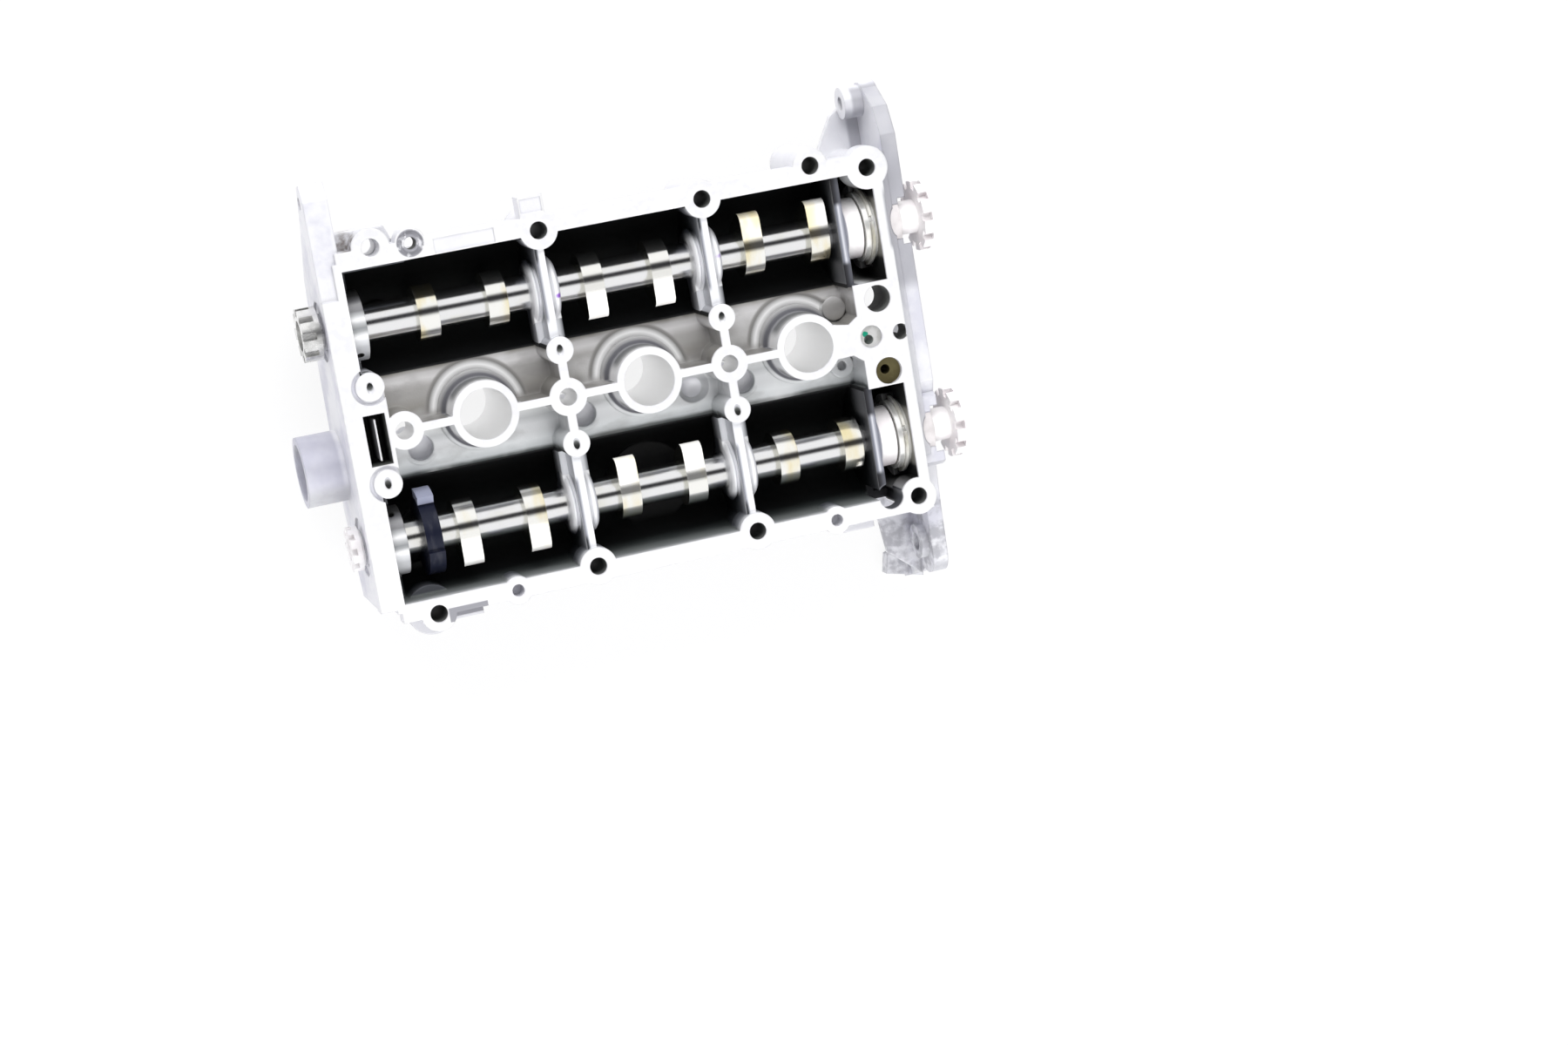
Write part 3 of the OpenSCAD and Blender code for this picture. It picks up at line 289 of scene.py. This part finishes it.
def castRoof(p, at, colour):  # painted light and shade along the bays, with light patches, and painted highlights and shade on the towers' feet and sides
    c = casting
    x, y, z, plugR, half = at.x, at.y, at.z, at.plugR, c["roofHalf"]
    start, end = c["roofX"]
    share = abs(y).ramp(half + 0.8, half) * z.ramp(-26.4, -25.8) * z.ramp(-0.5, -1.5)
    share = share * x.ramp(start - 1, start) * x.ramp(end + 1, end)
    # painted light and shade across the roof, by distance from the plug line
    tone = (y + (at.smear - 0.5) * 2.4).stops(c["roof"])
    tone = at.cloud.ramp(0.5, 0.72).between(0, 0.45).blend(tone, c["roofLight"])
    tone = at.smear.ramp(0.5, 0.30).between(0, 0.30).blend(tone, c["roofSmear"])
    # painted highlight and shade on the fillet round the towers' feet
    foot = plugR.ramp(26.6, 25.2) * y.ramp(1, 6) * z.ramp(-17.5, -18.5)
    tone = (foot * 0.85).blend(tone, plugR.stops(c["towerFootLightAndShade"]))
    # painted light and shade down the towers' sides, with a painted highlight where they face -x
    side = plugR.ramp(18.6, 17.8) * plugR.ramp(13.6, 14.4)
    sideHighlight = at.nx.ramp(-0.75, -0.95) * z.ramp(-16, -11)
    tone = side.blend(tone, sideHighlight.blend(z.stops(c["towerSideLightAndShade"]), c["towerHighlight"]))
    return share.blend(colour, tone)


def castRings(p, at, colour):  # painted highlights on the ring crowns and web ribs, painted shade in the grooves and down the deep flanks
    c = casting
    z, along, outward = at.z, at.fromRing, at.outward
    inner = outward.ramp(-12, -16)
    # painted highlight along the web's rib, painted shade beside it and down the flanks
    web = along.stops(c["web"])
    web = (outward.ramp(13, 17) * along.ramp(-1.5, -3)).blend(web, c["webShade"])
    web = (inner * along.ramp(-9, -5) * along.ramp(7, 4)).blend(web, c["webHighlight"])
    tone = (inner * z.ramp(-30, -9)).blend(z.stops(c["flankShade"]), c["flankHighlight"])
    tone = (abs(along).ramp(12, 10) * at.facing).blend(tone, web)

    # painted highlight bands and groove shade on the ring crowns, darker at their feet
    crown = (along + (at.smear - 0.5) * 0.8).stops(c["ring"])
    crown = (outward.ramp(9, 14.5) * along.ramp(-1, -2.5)).blend(crown, c["crownShade"])
    crown = (outward.ramp(-10, -14) * 0.7).blend(crown, c["crownHighlight"])
    crown = z.ramp(-15, -24).blend(crown, c["crownFootShade"])
    ring = at.fromAxis.ramp(c["ringR"] + 0.7, c["ringR"]) * abs(along).ramp(8.4, 7.6)
    tone = ring.blend(tone, crown)
    # painted reflection bands on the rear rings
    rear = at.x.ramp(-128, -129) * at.fromAxis.ramp(c["rearRingR"] + 0.6, c["rearRingR"])
    tone = rear.blend(tone, (at.across + (at.smear - 0.5) * 2).stops(c["rearRingReflections"]))
    return at.inside.blend(colour, tone)


def castSeats(p, at, colour):  # painted light and shade where the ball bearings sit, and painted shade in the pocket in the corner
    c = casting
    x, y, z = at.x, at.y, at.z
    start, end = c["seatX"]
    share = x.ramp(start - 0.6, start) * z.ramp(-1, -2) * x.ramp(end + 0.4, end) * at.trough
    aside = abs(at.outward).ramp(13, 16)
    # painted light and shade across the seats, darker deep down and on the web's face
    tone = aside.blend(x.stops(c["seat"]), x.stops(c["seatSide"]))
    tone = (z.ramp(-26, -42) * aside.between(1, 0.25)).blend(tone, c["shade"])
    web = at.nx.ramp(-0.5, -0.8) * x.ramp(109, 108)
    tone = web.blend(tone, z.stops(c["webFaceShade"]))
    colour = share.blend(colour, tone)

    # painted shade in the pocket, darkest deep down
    pocketX, pocketY, pocketR = c["pocket"]
    pocket = p.away(x - pocketX, y - pocketY).ramp(pocketR + 0.5, pocketR)
    pocket = pocket * z.ramp(-0.8, -2) * z.ramp(-42, -40) * at.ny.ramp(-0.45, -0.15)
    return pocket.blend(colour, z.ramp(-22, -4).blend(c["pocketDeepShade"], c["pocketMouthShade"]))


def castWalls(p, at, colour):  # trough walls painted black as shade, with a lighter painted shade towards the lower rail
    c = casting
    lower = (at.z + (at.smear - 0.5) * 5).stops(c["outerWallShade"])
    return at.blackShade.blend(colour, at.y.ramp(-78, -81).blend(c["troughShade"], lower))


def boreShare(p, at):  # share of the plug bores and of the holes on their line, whose walls are painted bright as light
    wall = at.plugR.ramp(casting["plugWall"] + 0.4, casting["plugWall"])
    for holeX, holeY, holeR in casting["brightHoles"]:
        wall = wall.most((p.away(at.x - holeX, at.y - holeY) - holeR).ramp(0.4, 0.2))
    return wall * at.z.ramp(-0.4, -0.8)


def holeShare(p, at):  # share of the bolt holes, drillings, oil feeds and the blind slot
    c = casting
    x, y, z = at.x, at.y, at.z
    rail = abs(y - c["camMid"]) - c["boltY"]
    fromRings = abs(x) - c["ringX"]
    gaps = [p.away(along, rail) - c["boltR"] for along in (fromRings, x - c["frontBoltX"])]
    gaps += [p.away(x - holeX, y - holeY) - holeR for holeX, holeY, holeR in c["drillings"]]
    slotX, slotY, halfX, halfY = c["slot"]
    gaps.append((abs(x - slotX) - halfX).most(abs(y - slotY) - halfY))
    (oilY, oilR), (lean, squeeze) = c["oil"], c["oilLean"]
    slant = (abs(y) - oilY + z * lean) * squeeze
    gaps += [p.away(along, slant) - oilR for along in (fromRings, x - c["oilRear"])]
    return gaps[0].least(*gaps[1:]).ramp(0.45, 0.25) * z.ramp(-0.5, -1.6) * z.ramp(-43, -41)


def castHoles(p, at, colour, bores, holes):
    c = casting
    finX, finHalf = c["fin"]
    # painted shade: holes dark at the mouth and darker deeper down, the fin in the slot in a
    # lighter painted shade
    holeShade = (at.z + (at.speck - 0.5) * 8).ramp(-3, -16).blend(c["holeMouthShade"], c["holeDeepShade"])
    fin = abs(at.x - finX).ramp(0.9, 0.6) * abs(at.y - c["slot"][1]).ramp(finHalf + 1, finHalf)
    holeShade = (fin * at.z.ramp(-19, -3)).blend(holeShade, c["finShade"])
    # bore walls painted bright as light over the base colour
    return holes.blend(bores.blend(colour, c["bore"]), holeShade)


def castFace(p, at, colour):  # the sealing face, with painted shade at the drive end, and dabs of paint
    c = casting
    x, y, z = at.x, at.y, at.z
    # painted shade on the face's lands next to the drive end
    land = (x.ramp(131, 132.6) * y.ramp(38, 43)).most(x.ramp(135, 136.5) * y.ramp(22, 28))
    land = land * y.ramp(72, 66) * at.cloud.ramp(0.1, 0.4)
    flat = (at.cloud * at.speck).ramp(0.20, 0.38).blend(c["machined"], c["handled"])
    flat = at.pad.blend(land.blend(flat, c["plate"]), c["worn"])
    colour = at.face.blend(colour, flat)
    # painted shade on the up-facing fillet beyond the drive end of the face
    plate = x.ramp(131, 133) * y.ramp(14, 24) * at.facing * (1 - at.face)
    colour = (plate * at.cloud.between(0.5, 1.2)).blend(colour, c["plate"])
    for dabX, dabY, dabZ, size in c["paintSpots"]:
        dab = p.away(x - dabX, y - dabY, z - dabZ) + at.speck * 2
        colour = dab.ramp(size + 1.6, size + 0.6).blend(colour, c["paint"])
    return colour


def castAluminium():
    p = newFinish("castAluminium")
    at = Spot(p)
    bores, holes = boreShare(p, at), holeShare(p, at)
    colour = castSkin(p, at)
    for paint in (castRoof, castRings, castSeats, castWalls):
        colour = paint(p, at, colour)
    colour = castFace(p, at, castHoles(p, at, colour, bores, holes))

    matt = at.blackShade.most(holes)
    rough = at.face.between(0.44, 0.34) + (at.cloud - 0.5) * 0.1 + matt * 0.25
    lines = p.rings(p.away(at.x - 30, at.y + 260), 3.2)
    height = at.face.between(1, 0) * (at.grain * 0.6 + at.speck * 0.4) + at.face * lines * 0.12
    p.shade(Base_Color=colour, Metallic=matt.between(0.30, 0.0) + bores * 0.6, Roughness=rough,
            Normal=p.bump(height, 0.12, p.edges(1.3)))


# ground shafts, with faint grinding lines round them
steel = {"ground": (0.86, 0.86, 0.87), "warm": (0.80, 0.79, 0.74)}


def groundSteel():
    p = newFinish("groundSteel")
    x, y, z = p.place()
    lines = p.rings(x, 4.5)
    stainAndShade = p.noise(60, 4, (0.6, 1, 1))
    colour = stainAndShade.ramp(0.5, 0.75).blend(steel["ground"], steel["warm"])
    p.shade(Base_Color=colour, Metallic=1.0, Roughness=lines.between(0.13, 0.24),
            Normal=p.bump(lines, 0.004, p.edges(0.3)))


# hardened lobes with a straw tint that comes and goes round them
lobes = {"ground": (0.96, 0.955, 0.92), "straw": (0.90, 0.80, 0.50), "edge": (0.62, 0.61, 0.52),
         "camMid": -1.5, "camOff": 53, "camZ": -21, "baseR": 13.5}


def lobeSteel():
    p = newFinish("lobeSteel")
    x, y, z = p.place()
    nx, ny, nz = p.split(p.spot("Normal"))
    lines = p.rings(x, 3.0)
    tint = p.noise(26, 3, (2.2, 1, 1))
    colour = tint.ramp(0.48, 0.70).blend(lobes["ground"], lobes["straw"])
    colour = abs(nx).ramp(0.6, 0.9).blend(colour, lobes["edge"])
    out = p.away(abs(y - lobes["camMid"]) - lobes["camOff"], z - lobes["camZ"])
    satin = out.ramp(lobes["baseR"] + 0.15, lobes["baseR"] + 1.2) * abs(nx).ramp(0.5, 0.3)
    p.shade(Base_Color=colour, Metallic=satin.between(1.0, 0.12),
            Roughness=satin.between(0.13, 0.30) + lines * 0.08,
            Normal=p.bump(lines, 0.005, p.edges(0.4)))


plain = {  # colour, second colour, metallic, roughness, grain scale, grain depth, edge radius
    "sinteredSteel": ((0.95, 0.94, 0.94), (0.86, 0.83, 0.84), 0.25, 0.42, 1500, 0.05, 0.4),
    "noseSteel": ((0.88, 0.86, 0.86), (0.80, 0.76, 0.77), 0.08, 0.48, 1500, 0.05, 0.4),
    "turnedSteel": ((0.84, 0.84, 0.83), (0.45, 0.45, 0.44), 0.9, 0.26, 900, 0.03, 0.3),
    "bearingSteel": ((0.95, 0.95, 0.93), (0.82, 0.81, 0.76), 0.6, 0.18, 240, 0.004, 0.3),
    "ringSteel": ((0.80, 0.79, 0.74), (0.48, 0.46, 0.38), 0.6, 0.34, 420, 0.02, 0.3),
    "cagePlastic": ((0.50, 0.38, 0.18), (0.42, 0.30, 0.13), 0.0, 0.5, 900, 0.03, 0.3),
    "sealRubber": ((0.66, 0.63, 0.63), (0.50, 0.47, 0.47), 0.0, 0.45, 1200, 0.04, 0.4),
    "platedInsert": ((0.19, 0.165, 0.08), (0.12, 0.10, 0.045), 0.85, 0.36, 700, 0.02, 0.3),
}


collar = {"x": 112.6, "tone": (0.27, 0.275, 0.32)}  # dull end of the drive noses' hubs


def plainFinish(name):
    first, second, metal, rough, scale, depth, radius = plain[name]
    p = newFinish(name)
    grain = p.noise(scale, 3)
    patch = p.noise(90, 4)
    colour = patch.ramp(0.4, 0.68).blend(first, second)
    if name == "noseSteel":
        x, y, z = p.place()
        colour = x.ramp(collar["x"] + 0.6, collar["x"]).blend(colour, collar["tone"])
    p.shade(Base_Color=colour, Metallic=metal,
            Roughness=patch.between(rough - 0.06, rough + 0.08),
            Normal=p.bump(grain, depth, p.edges(radius)))


# blued sender wheel: nearly black, its tall tooth bare and bluish
sender = {"blued": (0.006, 0.008, 0.022), "worn": (0.028, 0.030, 0.045),
          "tooth": (0.36, 0.38, 0.50), "camY": -54.5, "camZ": -21, "toothR": 18.6}


def senderWheel():
    p = newFinish("senderWheel")
    x, y, z = p.place()
    out = p.away(y - sender["camY"], z - sender["camZ"])
    smear = p.noise(130, 4, (3, 1, 1))
    colour = smear.ramp(0.5, 0.8).blend(sender["blued"], sender["worn"])
    tooth = out.ramp(sender["toothR"], sender["toothR"] + 0.6) * (y - sender["camY"]).ramp(0, 3)
    colour = tooth.blend(colour, sender["tooth"])
    p.shade(Base_Color=colour, Metallic=0.35, Roughness=smear.between(0.32, 0.5),
            Normal=p.bump(smear, 0.02, p.edges(0.3)))


# turned feed plug with a dab of green paint
feed = {"turned": (0.84, 0.84, 0.83), "dull": (0.62, 0.62, 0.60), "green": (0.02, 0.42, 0.26),
        "at": (114.6, -1.0), "dab": (112.0, 0.6, 1.5)}


def feedPlug():
    p = newFinish("feedPlug")
    x, y, z = p.place()
    across = p.away(x - feed["at"][0], y - feed["at"][1])
    lines = p.rings(across, 5.0)
    colour = p.noise(200, 3).ramp(0.4, 0.7).blend(feed["turned"], feed["dull"])
    dab = p.away(x - feed["dab"][0], y - feed["dab"][1]) + p.noise(500, 2)
    colour = dab.ramp(feed["dab"][2] + 0.7, feed["dab"][2] + 0.3).blend(colour, feed["green"])
    p.shade(Base_Color=colour, Metallic=0.75, Roughness=lines.between(0.25, 0.45),
            Normal=p.bump(lines, 0.02, p.edges(0.3)))


castAluminium()
groundSteel()
lobeSteel()
senderWheel()
feedPlug()
for name in plain:
    plainFinish(name)
slotFinish = {
    "cast_aluminium": "castAluminium", "ground_steel": "groundSteel", "lobe_steel": "lobeSteel",
    "sintered_steel": "sinteredSteel", "bearing_steel": "bearingSteel", "ring_steel": "ringSteel",
    "cage_plastic": "cagePlastic", "seal_rubber": "sealRubber", "sender_wheel": "senderWheel",
    "plated_insert": "platedInsert", "feed_plug": "feedPlug",
}
for part in frame["record"]["subparts"]:
    piece = nodes[part["node"]]
    piece.data.materials.clear()
    finish = slotFinish[part["material_slot"]]
    for ending, own in (("drive_nose", "noseSteel"), ("intake_rear_coupling", "turnedSteel")):
        finish = own if part["node"].endswith(ending) else finish
    piece.data.materials.append(finishes[finish])
print("finishes:", len(finishes))


# pale floor under the cover: white to the eye and to shiny parts, with a faint shadow
floor = {"z": -0.085, "half": 3.0, "share": 0.86, "colour": (0.93, 0.93, 0.94, 1)}


def makeFloor():
    bm = bmesh.new()
    bmesh.ops.create_grid(bm, x_segments=1, y_segments=1, size=floor["half"],
                          matrix=Matrix.Translation((0, 0, floor["z"])))
    mesh = bpy.data.meshes.new("floor")
    bm.to_mesh(mesh)
    bm.free()
    piece = bpy.data.objects.new("floor", mesh)
    bpy.context.scene.collection.objects.link(piece)
    p = newFinish("paleFloor")
    seen = raysThatSee(p)
    paper = p.add("ShaderNodeBsdfDiffuse", None, {"Color": floor["colour"]})
    white = p.add("ShaderNodeEmission", None, {"Color": (1, 1, 1, 1), "Strength": 1.0})
    both = p.add("ShaderNodeMixShader", None, {0: seen * floor["share"], 1: paper, 2: white})
    p.add("ShaderNodeOutputMaterial", None, {"Surface": both})
    mesh.materials.append(finishes["paleFloor"])


def raysThatSee(p):
    rays = p.add("ShaderNodeLightPath").socket.node.outputs
    camera, glossy, through = [Value(p, rays[f"Is {kind} Ray"])
                               for kind in ("Camera", "Glossy", "Transmission")]
    return camera.most(glossy, through)


# studio: white to the camera; shiny parts see two long bright panels and a dim strip overhead
studio = {"diffuse": (0.50, 0.50, 0.515), "strip": (0.015, 0.015, 0.018),
          "panel": (1.0, 1.0, 1.0), "horizon": (0.30, 0.30, 0.33),
          "stripMid": 0.13, "stripEdge": (0.13, 0.40), "horizonEdge": (7.0, 20.0)}


def makeStudio():
    world = bpy.data.worlds.new("studio")
    bpy.context.scene.world = world
    world.use_nodes = True
    p = Recipe(world.node_tree)
    dx, dy, dz = p.split(p.spot("Generated"))
    lean = dy / dz.maths("MAXIMUM", 0.02)
    beside = abs(lean - studio["stripMid"]).ramp(*studio["stripEdge"])
    shown = beside.blend(studio["strip"], studio["panel"])
    shown = abs(lean).ramp(*studio["horizonEdge"]).blend(shown, studio["horizon"])
    rays = p.add("ShaderNodeLightPath").socket.node.outputs
    glossy = Value(p, rays["Is Glossy Ray"])
    camera = Value(p, rays["Is Camera Ray"]).most(Value(p, rays["Is Transmission Ray"]))
    colour = glossy.blend(studio["diffuse"], shown)
    colour = camera.blend(colour, (1, 1, 1))
    light = p.add("ShaderNodeBackground", None, {"Color": colour, "Strength": 1.0})
    p.add("ShaderNodeOutputWorld", None, {"Surface": light})


panels = {"distance": 1.15, "height": 1.0, "size": (1.8, 0.9), "power": (26, 22)}


def makeLights():
    for side, power in zip((1, -1), panels["power"]):
        data = bpy.data.lights.new(f"panel{side}", "AREA")
        data.shape, data.size, data.size_y = "RECTANGLE", *panels["size"]
        data.energy = power
        lamp = bpy.data.objects.new(data.name, data)
        bpy.context.scene.collection.objects.link(lamp)
        lamp.location = (0, side * panels["distance"], panels["height"])
        lamp.rotation_euler = (-lamp.location).to_track_quat("-Z", "Y").to_euler()
        lamp.visible_glossy = False


# the photograph's viewpoint
view = {"lens": 75.7008, "at": (-0.3591752, 0.2236214, 1.5459648),
        "right": (0.9446613, -0.1622527, 0.2851124), "up": (0.2075868, 0.9686377, -0.1365606),
        "back": (-0.2540133, 0.1881891, 0.9487160)}


def makeCamera():
    data = bpy.data.cameras.new("view")
    data.sensor_fit, data.sensor_width, data.lens = "HORIZONTAL", 36, view["lens"]
    data.clip_start, data.clip_end = 0.05, 20
    camera = bpy.data.objects.new("view", data)
    bpy.context.scene.collection.objects.link(camera)
    turn = Matrix((view["right"], view["up"], view["back"])).transposed()
    camera.matrix_world = Matrix.Translation(view["at"]) @ turn.to_4x4()
    bpy.context.scene.camera = camera


makeFloor()
makeStudio()
makeLights()
makeCamera()
bpy.context.scene.view_settings.view_transform = "Standard"
print("floor, studio, lights and camera made")
